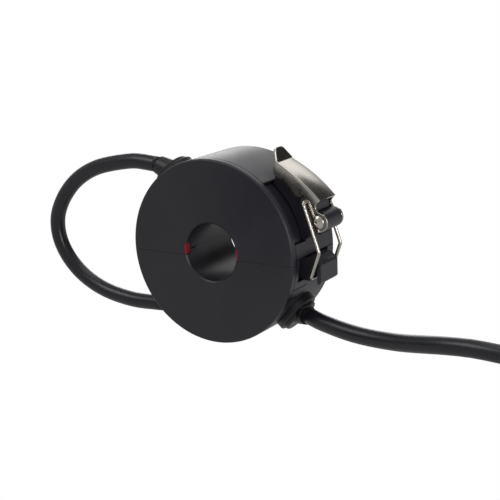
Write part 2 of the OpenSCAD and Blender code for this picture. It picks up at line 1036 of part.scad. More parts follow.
// Section through the hank's turns, with its inner edge at the hank's own distance
module coil_section() {
    r = cable_d / 2;
    translate([coil_r - coil_sec_w / 2, 0])
        union() {
            translate([r, 0])
                square([coil_sec_w - cable_d, coil_sec_h]);
            translate([0, r])
                square([coil_sec_w, coil_sec_h - cable_d]);
            for (x = [r, coil_sec_w - r], y = [r, coil_sec_h - r])
                translate([x, y])
                    circle(r = r, $fn = small);
        }
}

module lead_coil() {
    color(plastic)
        translate([coil_at[0], coil_at[1], coil_z])
            for (end = [0, 180])
                rotate([0, 0, end]) {
                    translate([coil_run / 2, 0, 0])
                        rotate([0, 0, -90])
                            rotate_extrude(angle = 180)
                                coil_section();
                    translate([-coil_run / 2, 0, 0])
                        rotate([90, 0, 90])
                            linear_extrude(coil_run)
                                coil_section();
                }
}

module coil_tie() {
    w = coil_sec_w + 2 * tie_slack;
    h = coil_sec_h + tie_slack;
    color("black")
        translate([coil_at[0] - tie_w / 2, coil_at[1] - coil_r - w / 2, coil_z])
            difference() {
                translate([0, -tie_t, -tie_t])
                    cube([tie_w, w + 2 * tie_t, h + 2 * tie_t]);
                translate([-1, 0, 0])
                    cube([tie_w + 2, w, h]);
            }
}

tail_start = [coil_in[0] + coil_run, coil_in[1], coil_z + cable_d / 2];
tail_end = [tail_start[0] + tail_len, tail_start[1], floor_z + cable_d / 2 + 0.1];

module lead_tail() {
    color(plastic)
        rod(tail_start, tail_end, cable_d / 2);
}

module lead_cores() {
    ahead = unit(tail_end - tail_start);
    color("white")
        for (side = [-1, 1])
            translate([0, side * core_apart, 0])
                rod(tail_end - ahead * core_sunk, tail_end + ahead * core_len_bare, strand_d / 2);
}

upper_shell();
lower_shell();
upper_cover();
lower_cover();
upper_core();
lower_core();
upper_winding();
lower_winding();
upper_potting();
lower_potting();
left_seal();
right_seal();
hinge_pin();
latch_lever();
latch_pin();
latch_bail();
upper_gland();
lower_gland();
lead_gland();
link_cable();
output_lead();
lead_coil();
coil_tie();
lead_tail();
lead_cores();
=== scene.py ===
"""Finished look of the split-core current transformer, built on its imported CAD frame."""
import json
import logging
import math
from dataclasses import dataclass, field
from enum import Enum
from typing import Any, Iterable, Sequence

import bmesh
import bpy
from mathutils import Matrix, Vector


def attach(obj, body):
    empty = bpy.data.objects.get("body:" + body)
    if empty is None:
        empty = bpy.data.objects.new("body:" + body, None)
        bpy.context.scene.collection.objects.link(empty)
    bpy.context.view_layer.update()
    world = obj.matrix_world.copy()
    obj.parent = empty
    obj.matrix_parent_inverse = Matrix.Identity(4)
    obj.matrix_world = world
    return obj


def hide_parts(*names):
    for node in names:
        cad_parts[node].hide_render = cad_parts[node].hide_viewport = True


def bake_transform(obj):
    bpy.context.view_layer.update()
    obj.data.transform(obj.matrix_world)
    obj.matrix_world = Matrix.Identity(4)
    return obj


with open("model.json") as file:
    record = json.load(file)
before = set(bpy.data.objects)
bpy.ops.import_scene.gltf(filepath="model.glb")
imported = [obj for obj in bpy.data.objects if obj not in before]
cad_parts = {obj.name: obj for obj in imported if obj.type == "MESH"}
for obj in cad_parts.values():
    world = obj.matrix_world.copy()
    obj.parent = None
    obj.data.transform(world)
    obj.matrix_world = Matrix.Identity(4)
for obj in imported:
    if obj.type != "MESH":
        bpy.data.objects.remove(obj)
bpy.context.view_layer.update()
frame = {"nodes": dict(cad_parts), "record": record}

LOG = logging.getLogger("current_transformer")
MM = 0.001
# A wave texture's scale times the length of one wave, which is 2 pi / 20.
WAVE = 0.314
# The colour sockets of a mix node, whose number and vector sockets come before them.
MIX_FIRST, MIX_SECOND, MIX_RESULT = 6, 7, 2
Point = tuple[float, float, float]


# --------------------------------------------------------------------------- small helpers


def linear(hex_colour: str) -> tuple[float, float, float, float]:
    """Turns an sRGB hex colour into linear RGBA.

    Args:
        hex_colour: six hex digits, with or without a hash sign.

    Returns:
        Linear red, green and blue, with an alpha of 1.
    """
    digits = hex_colour.lstrip("#")
    values = [int(digits[i:i + 2], 16) / 255 for i in (0, 2, 4)]
    rgb = [v / 12.92 if v <= 0.04045 else ((v + 0.055) / 1.055) ** 2.4 for v in values]
    return rgb[0], rgb[1], rgb[2], 1.0


def add_node(tree: bpy.types.NodeTree, kind: str, inputs: dict[Any, Any] | None = None,
             **settings: Any) -> bpy.types.Node:
    """Adds a node with its settings, input values and incoming links.

    Args:
        tree: the node tree that gets the node.
        kind: the node's type name.
        inputs: values or output sockets by the input's name or number.
        **settings: attributes set on the node itself.

    Returns:
        The new node.
    """
    node = tree.nodes.new(kind)
    for name, value in settings.items():
        setattr(node, name, value)
    for name, value in (inputs or {}).items():
        if isinstance(value, bpy.types.NodeSocket):
            tree.links.new(value, node.inputs[name])
        else:
            node.inputs[name].default_value = value
    return node


def metres(points: Iterable[Sequence[float]]) -> list[Vector]:
    """Returns points given in millimetres as vectors in metres."""
    return [Vector(p) * MM for p in points]


def smooth_path(points: Sequence[Vector], per_span: int) -> list[Vector]:
    """Runs a centripetal curve through points.

    Args:
        points: the points that the curve passes through.
        per_span: how many steps each span is divided into.

    Returns:
        The points along the curve, both ends included.
    """
    ends = [points[0] * 2 - points[1], *points, points[-1] * 2 - points[-2]]
    path: list[Vector] = []
    for i in range(1, len(ends) - 2):
        a, b, c, d = ends[i - 1:i + 3]
        for k in range(per_span):
            t = k / per_span
            path.append(
                0.5 * ((2 * b) + (c - a) * t + (2 * a - 5 * b + 4 * c - d) * t ** 2
                       + (3 * b - a - 3 * c + d) * t ** 3)
            )
    path.append(points[-1].copy())
    return path


def path_length(points: Sequence[Vector]) -> float:
    """Returns the length of a line through points."""
    return sum((b - a).length for a, b in zip(points, points[1:]))


def add_object(name: str, data: bpy.types.ID) -> bpy.types.Object:
    """Returns a new object for some data, linked to the scene."""
    made = bpy.data.objects.new(name, data)
    bpy.context.scene.collection.objects.link(made)
    return made


def new_piece(name: str, vertices: Sequence[Sequence[float]], faces: Sequence[Sequence[int]],
              material: bpy.types.Material, smooth: bool = True) -> bpy.types.Object:
    """Makes a mesh object at the origin, with one material.

    Args:
        name: the piece's name.
        vertices: its points in metres.
        faces: its faces as vertex numbers.
        material: the finish on all its faces.
        smooth: whether its faces are shaded smooth.

    Returns:
        The linked object.
    """
    mesh = bpy.data.meshes.new(name)
    mesh.from_pydata([tuple(v) for v in vertices], [], [tuple(f) for f in faces])
    mesh.validate()
    mesh.polygons.foreach_set("use_smooth", [smooth] * len(mesh.polygons))
    mesh.materials.append(material)
    mesh.update()
    return add_object(name, mesh)


def sweep(name: str, path: Sequence[Vector], radii: Sequence[float], material: bpy.types.Material,
          sides: int = 28) -> bpy.types.Object:
    """Sweeps a round section along a path, with closed ends and a UV map along it.

    Args:
        name: the piece's name.
        path: the centreline's points, in metres.
        radii: the section's radius at each point.
        material: the finish.
        sides: how many sides the section has.

    Returns:
        The tube, its normals outward.
    """
    count = len(path)
    ahead = (path[1] - path[0]).normalized()
    side = ahead.cross(Vector((0, 0, 1)))
    if side.length < 1e-3:
        side = ahead.cross(Vector((0, 1, 0)))
    side.normalize()
    vertices: list[Vector] = []
    for i, point in enumerate(path):
        ahead = (path[min(i + 1, count - 1)] - path[max(i - 1, 0)]).normalized()
        side = (side - ahead * side.dot(ahead)).normalized()
        up = ahead.cross(side)
        for k in range(sides):
            angle = 2 * math.pi * k / sides
            vertices.append(point + radii[i] * (math.cos(angle) * side + math.sin(angle) * up))
    faces: list[list[int]] = []
    for i in range(count - 1):
        for k in range(sides):
            a, b = i * sides + k, i * sides + (k + 1) % sides
            faces.append([a, b, b + sides, a + sides])
    faces.append(list(range(sides))[::-1])
    faces.append([(count - 1) * sides + k for k in range(sides)])
    piece = new_piece(name, vertices, faces, material)
    run = [0.0]
    for a, b in zip(path, path[1:]):
        run.append(run[-1] + (b - a).length)
    layer = piece.data.uv_layers.new(name="Along")
    girth = 2 * math.pi * radii[0]
    for face in piece.data.polygons:
        for loop in face.loop_indices:
            vertex = piece.data.loops[loop].vertex_index
            layer.data[loop].uv = (run[vertex // sides], girth * (vertex % sides) / sides)
    for face in list(piece.data.polygons)[-2:]:
        face.use_smooth = False
    return piece


def loft(name: str, rings: Sequence[Sequence[Vector]], material: bpy.types.Material,
         crease_deg: float = 35) -> bpy.types.Object:
    """Joins closed rings of equal count into a solid, with both ends capped.

    Args:
        name: the piece's name.
        rings: the rings in order, each as points in metres.
        material: the finish.
        crease_deg: edges sharper than this stay sharp.

    Returns:
        The solid, its normals outward.
    """
    count, size = len(rings), len(rings[0])
    vertices = [point for ring in rings for point in ring]
    faces: list[list[int]] = []
    for i in range(count - 1):
        for k in range(size):
            a, b = i * size + k, i * size + (k + 1) % size
            faces.append([a, b, b + size, a + size])
    faces.append(list(range(size))[::-1])
    faces.append([(count - 1) * size + k for k in range(size)])
    piece = new_piece(name, vertices, faces, material)
    finish_mesh(piece, crease_deg)
    return piece


def finish_mesh(piece: bpy.types.Object, crease_deg: float) -> None:
    """Turns a solid's normals outward and keeps its sharp edges sharp."""
    work = bmesh.new()
    work.from_mesh(piece.data)
    bmesh.ops.remove_doubles(work, verts=work.verts, dist=1e-7)
    bmesh.ops.recalc_face_normals(work, faces=work.faces)
    if work.calc_volume(signed=True) < 0:
        bmesh.ops.reverse_faces(work, faces=work.faces)
    for edge in work.edges:
        bent = len(edge.link_faces) == 2 and edge.calc_face_angle(0) >= math.radians(crease_deg)
        edge.smooth = not bent
    work.to_mesh(piece.data)
    work.free()
    piece.data.update()


def piece_from(work: bmesh.types.BMesh, name: str, material: bpy.types.Material,
               crease_deg: float) -> bpy.types.Object:
    """Turns a bmesh into a piece and frees it.

    Args:
        work: the bmesh.
        name: the piece's name.
        material: the finish on all its faces.
        crease_deg: edges sharper than this stay sharp.

    Returns:
        The linked object, its normals outward.
    """
    mesh = bpy.data.meshes.new(name)
    work.to_mesh(mesh)
    work.free()
    mesh.materials.append(material)
    piece = add_object(name, mesh)
    finish_mesh(piece, crease_deg)
    return piece


def bake_modifiers(piece: bpy.types.Object) -> None:
    """Turns what a piece's modifiers make into its own mesh and takes the modifiers off."""
    graph = bpy.context.evaluated_depsgraph_get()
    made = bpy.data.meshes.new_from_object(piece.evaluated_get(graph))
    piece.modifiers.clear()
    piece.data = made


def circle_points(centre: Sequence[float], radius: float, start: float, end: float,
                  count: int) -> list[Vector]:
    """Returns points of an arc in a plane, from one angle in degrees to another."""
    turns = [math.radians(start + (end - start) * k / (count - 1)) for k in range(count)]
    return [Vector((centre[0] + radius * math.cos(t), centre[1] + radius * math.sin(t)))
            for t in turns]


# --------------------------------------------------------------------------- finishes


@dataclass(frozen=True)
class Finish:
    """A finish: a real material, its colour and how its surface was made."""

    name: str
    colour: str
    roughness: float
    metallic: float = 0.0
    ior: float = 1.5
    specular: float = 0.5
    edge_mm: float = 0.2

    def start(self) -> tuple[bpy.types.NodeTree, bpy.types.Node, bpy.types.Material]:
        """Makes the material with its shader.

        Returns:
            The node tree, the shader node and the material.
        """
        material = bpy.data.materials.new(self.name)
        material.use_nodes = True
        tree = material.node_tree
        tree.nodes.clear()
        shader = add_node(tree, "ShaderNodeBsdfPrincipled", {
            "Base Color": linear(self.colour),
            "Roughness": self.roughness,
            "Metallic": self.metallic,
            "IOR": self.ior,
            "Specular IOR Level": self.specular,
        })
        add_node(tree, "ShaderNodeOutputMaterial", {"Surface": shader.outputs["BSDF"]})
        material.diffuse_color = linear(self.colour)
        return tree, shader, material

    def place(self, tree: bpy.types.NodeTree, scale: Point = (1, 1, 1)) -> bpy.types.NodeSocket:
        """Returns object coordinates in metres, stretched by a scale."""
        coords = add_node(tree, "ShaderNodeTexCoord")
        mapping = add_node(tree, "ShaderNodeMapping", {
            "Vector": coords.outputs["Object"], "Scale": scale})
        return mapping.outputs["Vector"]

    def noise(self, tree: bpy.types.NodeTree, place: bpy.types.NodeSocket, size_mm: float,
              detail: float, roughness: float = 0.5, distortion: float = 0.0) -> bpy.types.NodeSocket:
        """Returns a noise from 0 to 1, its marks about as large as a size in millimetres."""
        texture = add_node(tree, "ShaderNodeTexNoise", {
            "Vector": place, "Scale": 1 / (size_mm * MM), "Detail": detail, "Roughness": roughness,
            "Distortion": distortion})
        return texture.outputs["Fac"]

    def vary(self, tree: bpy.types.NodeTree, shader: bpy.types.Node, socket: str,
             signal: bpy.types.NodeSocket, low: float, high: float) -> None:
        """Drives a shader number between two values by a signal from 0 to 1."""
        span = add_node(tree, "ShaderNodeMapRange", {
            "Value": signal, "To Min": low, "To Max": high})
        tree.links.new(span.outputs["Result"], shader.inputs[socket])

    def tint(self, tree: bpy.types.NodeTree, shader: bpy.types.Node, signal: bpy.types.NodeSocket,
             stops: Sequence[tuple[float, str]]) -> None:
        """Colours the shader by a ramp over a signal."""
        ramp = add_node(tree, "ShaderNodeValToRGB", {"Fac": signal})
        elements = ramp.color_ramp.elements
        while len(elements) < len(stops):
            elements.new(0.5)
        for element, (at, colour) in zip(elements, stops):
            element.position = at
            element.color = linear(colour)
        tree.links.new(ramp.outputs["Color"], shader.inputs["Base Color"])

    def bump(self, tree: bpy.types.NodeTree, shader: bpy.types.Node, height: bpy.types.NodeSocket,
             depth_mm: float, strength: float) -> None:
        """Raises the surface by a height signal, over edges rounded to the finish's edge radius."""
        edge = add_node(tree, "ShaderNodeBevel", {"Radius": self.edge_mm * MM}, samples=6)
        relief = add_node(tree, "ShaderNodeBump", {
            "Height": height, "Distance": depth_mm * MM, "Strength": strength,
            "Normal": edge.outputs["Normal"]})
        tree.links.new(relief.outputs["Normal"], shader.inputs["Normal"])


@dataclass(frozen=True)
class SparkErodedNylon(Finish):
    """Black glass-filled nylon moulded in a spark-eroded tool: a dull satin with a fine grain."""

    grain_mm: float = 0.28
    flow_mm: float = 26.0
    # How far the painted shade reaches into seams and inner corners, and its colour and gloss.
    shade_reach_mm: float = 0.9
    crevice_shade_colour: str = "#060608"
    crevice_shade_specular: float = 0.05

    def paint_crevice_shade(self, tree: bpy.types.NodeTree, shader: bpy.types.Node) -> None:
        """Paints shade into seams and inner corners: an occlusion node darkens the colour and takes out
        the gloss there.
        """
        near = add_node(tree, "ShaderNodeAmbientOcclusion", {
            "Distance": self.shade_reach_mm * MM}, samples=8)
        open_face = add_node(tree, "ShaderNodeMapRange", {
            "Value": near.outputs["AO"], "From Min": 0.5, "From Max": 0.92})
        share = open_face.outputs["Result"]
        self.vary(tree, shader, "Specular IOR Level", share, self.crevice_shade_specular, self.specular)
        colour = shader.inputs["Base Color"].links[0].from_socket
        # Mixes the painted shade colour into the base colour where the occlusion node finds a near
        # surface.
        mix = add_node(tree, "ShaderNodeMix", {"Factor": share}, data_type="RGBA")
        mix.inputs[MIX_FIRST].default_value = linear(self.crevice_shade_colour)
        tree.links.new(colour, mix.inputs[MIX_SECOND])
        tree.links.new(mix.outputs[MIX_RESULT], shader.inputs["Base Color"])

    def build(self) -> bpy.types.Material:
        """Returns the nylon: grain in the relief, faint flow marks in the gloss and the colour, and
        painted shade in seams and inner corners.
        """
        tree, shader, material = self.start()
        place = self.place(tree)
        grain = self.noise(tree, place, self.grain_mm, 3.0, 0.6)
        flow = self.noise(tree, place, self.flow_mm, 4.0, 0.55, 0.6)
        self.vary(tree, shader, "Roughness", flow, self.roughness - 0.05, self.roughness + 0.07)
        self.tint(tree, shader, flow, [(0.3, "#1e1c24"), (0.7, "#26242c")])
        # Painted shade: seams and inner corners come out darker and less glossy.
        self.paint_crevice_shade(tree, shader)
        self.bump(tree, shader, grain, 0.02, 0.35)
        return material


@dataclass(frozen=True)
class TumbledStainless(Finish):
    """Pressed stainless sheet and wire, tumbled bright: long soft streaks in its reflections."""

    streak: Point = (1.0, 7.0, 1.0)
    streak_mm: float = 1.4
    dent_mm: float = 5.0

    def build(self) -> bpy.types.Material:
        """Returns the metal: streaked gloss and a shallow waviness from pressing."""
        tree, shader, material = self.start()
        streaks = self.noise(tree, self.place(tree, self.streak), self.streak_mm, 5.0)
        dents = self.noise(tree, self.place(tree), self.dent_mm, 2.0)
        self.vary(tree, shader, "Roughness", streaks, self.roughness - 0.06, self.roughness + 0.1)
        self.bump(tree, shader, dents, 0.02, 0.12)
        return material


@dataclass(frozen=True)
class ExtrudedSheath(Finish):
    """Black PVC sheath, extruded over laid-up cores: satin, with the lay just felt through it."""

    ripple_mm: float = 2.6
    skin_mm: float = 0.4

    def build(self) -> bpy.types.Material:
        """Returns the sheath: a low ripple along the cable and a fine skin."""
        tree, shader, material = self.start()
        place = self.place(tree)
        ripple = self.noise(tree, place, self.ripple_mm, 2.0)
        skin = self.noise(tree, place, self.skin_mm, 2.0)
        both = add_node(tree, "ShaderNodeMath", {0: ripple, 1: skin}, operation="ADD")
        self.vary(tree, shader, "Roughness", ripple, self.roughness - 0.05, self.roughness + 0.06)
        self.bump(tree, shader, both.outputs["Value"], 0.03, 0.25)
        return material


@dataclass(frozen=True)
class BunchedStrand(Finish):
    """Bare copper wires twisted into a strand: fine slanting ridges along its own UV map."""

    wire_mm: float = 0.35

    def build(self) -> bpy.types.Material:
        """Returns the copper: ridges that slant across the strand by its UV map, with painted shade in
        the grooves between the wires and painted light on their crowns.
        """
        tree, shader, material = self.start()
        along = add_node(tree, "ShaderNodeUVMap", uv_map="Along")
        ridges = add_node(tree, "ShaderNodeTexWave", {
            "Vector": along.outputs["UV"], "Scale": WAVE / (self.wire_mm * MM), "Distortion": 0.3},
            wave_type="BANDS", bands_direction="DIAGONAL")
        # Painted shade and light: the colour follows the ridges, darker in the grooves and lighter on
        # the crowns.
        self.tint(tree, shader, ridges.outputs["Fac"], [(0.1, "#9a5a36"), (0.7, "#d89468")])
        self.bump(tree, shader, ridges.outputs["Fac"], 0.1, 0.6)
        return material


@dataclass(frozen=True)
class MouldedRubber(Finish):
    """Rubber or silicone moulding: matt, with a bloom that shows as uneven gloss."""

    bloom_mm: float = 3.0
    skin_mm: float = 0.25

    def build(self) -> bpy.types.Material:
        """Returns the rubber: uneven gloss over a fine skin."""
        tree, shader, material = self.start()
        place = self.place(tree)
        bloom = self.noise(tree, place, self.bloom_mm, 4.0)
        skin = self.noise(tree, place, self.skin_mm, 2.0)
        self.vary(tree, shader, "Roughness", bloom, self.roughness - 0.08, self.roughness + 0.08)
        self.bump(tree, shader, skin, 0.02, 0.3)
        return material


@dataclass(frozen=True)
class LaminatedCore(Finish):
    """Silicon steel strip wound into a ring and sawn through: its layers show on the cut faces."""

    strip_mm: float = 0.3

    def build(self) -> bpy.types.Material:
        """Returns the steel: one ring of colour for each layer of strip."""
        tree, shader, material = self.start()
        rings = add_node(tree, "ShaderNodeTexWave", {
            "Vector": self.place(tree, (1, 0, 1)), "Scale": WAVE / (2 * self.strip_mm * MM),
            "Distortion": 0.4, "Detail": 1.0}, wave_type="RINGS", rings_direction="SPHERICAL")
        self.tint(tree, shader, rings.outputs["Fac"], [(0.2, "#5c5c60"), (0.8, "#a6a6a8")])
        self.bump(tree, shader, rings.outputs["Fac"], 0.02, 0.3)
        return material


@dataclass(frozen=True)
class TapedWinding(Finish):
    """Enamelled wire under lapped polyester tape: glossy brown bands across the ring."""

    band_mm: float = 2.4

    def build(self) -> bpy.types.Material:
        """Returns the tape: bands at the tape's pitch."""
        tree, shader, material = self.start()
        bands = add_node(tree, "ShaderNodeTexWave", {
            "Vector": self.place(tree), "Scale": WAVE / (self.band_mm * MM), "Distortion": 1.5,
            "Detail": 1.0}, wave_type="BANDS", bands_direction="DIAGONAL")
        self.tint(tree, shader, bands.outputs["Fac"], [(0.1, "#5a3413"), (0.6, "#8a5520")])
        self.bump(tree, shader, bands.outputs["Fac"], 0.08, 0.4)
        return material


@dataclass(frozen=True)
class CastEpoxy(Finish):
    """Black potting resin poured level and cured: a wet gloss with tiny pits."""

    pit_mm: float = 2.2

    def build(self) -> bpy.types.Material:
        """Returns the resin: a smooth film with scattered pits."""
        tree, shader, material = self.start()
        pits = add_node(tree, "ShaderNodeTexVoronoi", {
            "Vector": self.place(tree), "Scale": 1 / (self.pit_mm * MM)})
        edge = add_node(tree, "ShaderNodeMapRange", {
            "Value": pits.outputs["Distance"], "From Min": 0.0, "From Max": 0.12})
        self.vary(tree, shader, "Roughness", edge.outputs["Result"], 0.5, self.roughness)
        self.bump(tree, shader, edge.outputs["Result"], 0.05, 0.4)
        return material


class Slot(Enum):
    """The record's material slots, each with the finish that it gets."""

    HOUSING = "moulded_case"
    CORE = "core_iron"
    WINDING = "winding_tape"
    RESIN = "potting_resin"
    SEAL = "seal_silicone"
    STEEL = "stainless"
    GLAND = "gland_rubber"
    SHEATH = "cable_sheath"
    TIE = "tie_nylon"
    INSULATION = "core_insulation"


FINISHES: dict[Slot, Finish] = {
    # Nylon, spark-eroded texture: reads near black, greyer where it faces the light.
    Slot.HOUSING: SparkErodedNylon(
        "Glass-filled nylon, spark-eroded satin", "#15141a", 0.36, edge_mm=0.14),
    Slot.CORE: LaminatedCore("Silicon steel strip, sawn and lapped", "#8a8a8c", 0.35, metallic=0.9),
    Slot.WINDING: TapedWinding("Polyester tape over enamelled wire", "#7a4a1c", 0.3),
    Slot.RESIN: CastEpoxy("Epoxy potting resin, cast", "#101012", 0.16),
    # Red silicone: saturated and matt, so a thin edge still shows.
    Slot.SEAL: MouldedRubber("Silicone seal, red", "#8c1226", 0.55),
    # Stainless keeps the default IOR; its colour is slightly warm.
    Slot.STEEL: TumbledStainless("Stainless steel, pressed and tumbled", "#c6c1b9", 0.17, metallic=1.0),
    Slot.GLAND: MouldedRubber("Moulded rubber gland, black", "#151519", 0.4),
    Slot.SHEATH: ExtrudedSheath("PVC cable sheath, black", "#16171e", 0.3),
    Slot.TIE: MouldedRubber("Nylon cable tie, black", "#0d0d0e", 0.42),
    Slot.INSULATION: ExtrudedSheath("PVC core insulation", "#d8d8d2", 0.4),
}
# Copper shows only where the cores are stripped, so the record has no slot for it.
STRAND = BunchedStrand("Bare copper strand", "#c98e62", 0.3, metallic=1.0, edge_mm=0.1)


class FinishShelf:
    """Builds each finish once and hands it out by slot."""

    def __init__(self) -> None:
        """Starts with nothing built."""
        self._built: dict[Slot, bpy.types.Material] = {}
        self._strand: bpy.types.Material | None = None

    def get(self, slot: Slot) -> bpy.types.Material:
        """Returns the material of a slot, built on first use."""
        if slot not in self._built:
            self._built[slot] = FINISHES[slot].build()
        return self._built[slot]

    def strand(self) -> bpy.types.Material:
        """Returns bare copper strand, built on first use."""
        if self._strand is None:
            self._strand = STRAND.build()
        return self._strand


# --------------------------------------------------------------------------- cords


@dataclass
class LinkCable:
    """The short cable that joins the two halves' windings, looped beside the hinge."""

    diameter: float = 6.7
    route: list[Point] = field(default_factory=lambda: [
        (-42, 0, 31.2), (-48, 0, 31.5), (-54, 0, 30.8), (-61.5, 0, 29.4), (-69, 0, 27.4),
        (-76, 0, 24.3), (-82.2, 0, 20.2), (-87.4, 0, 15.1), (-91.4, 0, 9.5), (-94, 0, 3.6),
        (-94.6, 0, -2.3), (-93.6, 0, -7.8), (-91.2, 0, -12.9), (-87.8, 0, -17.4), (-83.6, 0, -21.3),
        (-78.6, 0, -24.6), (-72.8, 0, -27.3), (-66.2, 0, -29.3), (-58.5, 0, -30.6), (-50, 0, -31.2),
    ])

    def build(self, shelf: FinishShelf, upper: "Gland", lower: "Gland") -> bpy.types.Object:
        """Sweeps the loop from the upper gland's mouth to the lower one's.

        Args:
            shelf: the finishes.
            upper: the gland that it leaves.
            lower: the gland that it goes into.

        Returns:
            The cable, swept from one gland's mouth to the other's.
        """
        points = [upper.mouth(), *metres(self.route), lower.mouth()]
        path = smooth_path(points, per_span=3)
        radius = self.diameter / 2 * MM
        cable = sweep("link_cable_loop", path, [radius] * len(path), shelf.get(Slot.SHEATH))
        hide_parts("link_cable")
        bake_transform(cable)
        return cable


class Cell(Enum):
    """A strand's place in the hank's section: layers up from the floor, columns from inside."""

    BOTTOM_IN = (0, 0)
    MIDDLE_IN = (1, 0)
    TOP_IN = (2, 0)
    TOP_OUT = (2, 1)
    MIDDLE_OUT = (1, 1)
    BOTTOM_OUT = (0, 1)


@dataclass
class Hank:
    """The stored part of the lead: turns laid beside and on each other round two bends.

    Each turn passes into the next one's cell along the back run and the left bend, the last turn
    first, so that every strand moves into a cell that the one after it has just left.
    """

    start: tuple[float, float] = (161, -22.7)
    run: float = 60
    bend: float = 23.5
    diameter: float = 6.7
    lowest_z: float = -37.2
    order: tuple[Cell, ...] = (Cell.MIDDLE_OUT, Cell.TOP_OUT, Cell.TOP_IN, Cell.MIDDLE_IN,
                               Cell.BOTTOM_IN, Cell.BOTTOM_OUT)
    steps: tuple[int, ...] = (5, 14, 9, 18)
    change: float = 0.3
    lag: float = 0.175
    run_end: float = 0.99999

    def _cell(self, cell: Cell) -> tuple[float, float]:
        """Returns a cell's bend radius and height in millimetres."""
        layer, column = cell.value
        return (self.bend + (column - 0.5) * self.diameter,
                self.lowest_z + (layer + 0.5) * self.diameter)

    def _place(self, quarter: float, radius: float, height: float) -> Vector:
        """Returns a point by quarter of the turn: front run, right bend, back run, left bend."""
        leg, t = int(quarter) % 4, quarter % 1
        outer = self.bend + self.diameter / 2
        x0, y0 = self.start[0], self.start[1] + outer
        if leg in (0, 2):
            across = self.run * (t if leg == 0 else 1 - t)
            return Vector((x0 + across, y0 + (radius if leg == 2 else -radius), height)) * MM
        turn = math.radians((-90 if leg == 1 else 90) + 180 * t)
        centre = x0 + (self.run if leg == 1 else 0)
        return Vector((centre + radius * math.cos(turn), y0 + radius * math.sin(turn), height)) * MM

    def _shift(self, turns_after: int, quarter: float) -> float:
        """Returns how far a strand has passed into its next cell, from 0 to 1."""
        t = min(max(((quarter - 2) / 2 - turns_after * self.lag) / self.change, 0), 1)
        return t * t * (3 - 2 * t)

    def path(self) -> list[Vector]:
        """Returns the strand's centreline, from where the lead comes in to where its tail leaves."""
        points: list[Vector] = []
        turns = len(self.order) - 1
        for k, cell in enumerate(self.order):
            radius, height = self._cell(cell)
            next_radius, next_height = self._cell(self.order[min(k + 1, turns)])
            # The last strand has only its front run, and its tail leaves from there.
            for leg, count in enumerate(self.steps if k < turns else self.steps[:1]):
                for i in range(count):
                    quarter = leg + i / count
                    ease = self._shift(turns - 1 - k, quarter)
                    points.append(self._place(quarter, radius + (next_radius - radius) * ease,
                                              height + (next_height - height) * ease))
        points.append(self._place(self.run_end, *self._cell(self.order[-1])))
        return points


@dataclass
class StrippedEnd:
    """The lead's end: two insulated cores out of the sheath, each with a bare copper tip."""

    insulated_d: float = 2.2
    bare_d: float = 1.5
    apart: float = 1.4
    spread: float = 0.9
    sunk: float = 1.0
    insulated_len: float = 9.0
    bare_len: float = 6.0
    overlap: float = 1.0
    tip_share: float = 0.8

    def _centre(self, run: float, side: int, end: Vector, ahead: Vector) -> Vector:
        """Returns a core's centre in metres, a run in millimetres past the sheath's end."""
        opening = self.spread * min(max(run / self.insulated_len, 0), 1) ** 2
        across = Vector((0, 1, 0)) * side
        return end + (ahead * run + across * (self.apart + opening)) * MM

    def build(self, shelf: FinishShelf, end: Vector, ahead: Vector) -> list[bpy.types.Object]:
        """Sweeps both cores and their tips in place of the CAD cores.

        Args:
            shelf: the finishes.
            end: the sheath's cut end, in metres.
            ahead: the way that the lead points there.

        Returns:
            The two insulated cores and the two tips.
        """
        pieces: list[bpy.types.Object] = []
        cover_step = (self.insulated_len + self.sunk) / 12
        tip_step = (self.bare_len + self.overlap) / 10
        for label, side in (("front", -1), ("rear", 1)):
            cover = [self._centre(-self.sunk + cover_step * k, side, end, ahead) for k in range(13)]
            tip = [self._centre(self.insulated_len - self.overlap + tip_step * k, side, end, ahead)
                   for k in range(11)]
            radii = [self.bare_d / 2 * MM * (1 if k < 10 else self.tip_share) for k in range(11)]
            core = sweep(f"lead_core_{label}", cover, [self.insulated_d / 2 * MM] * 13,
                         shelf.get(Slot.INSULATION))
            bare = sweep(f"lead_tip_{label}", tip, radii, shelf.strand())
            pieces += [core, bare]
        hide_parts("lead_cores")
        return pieces


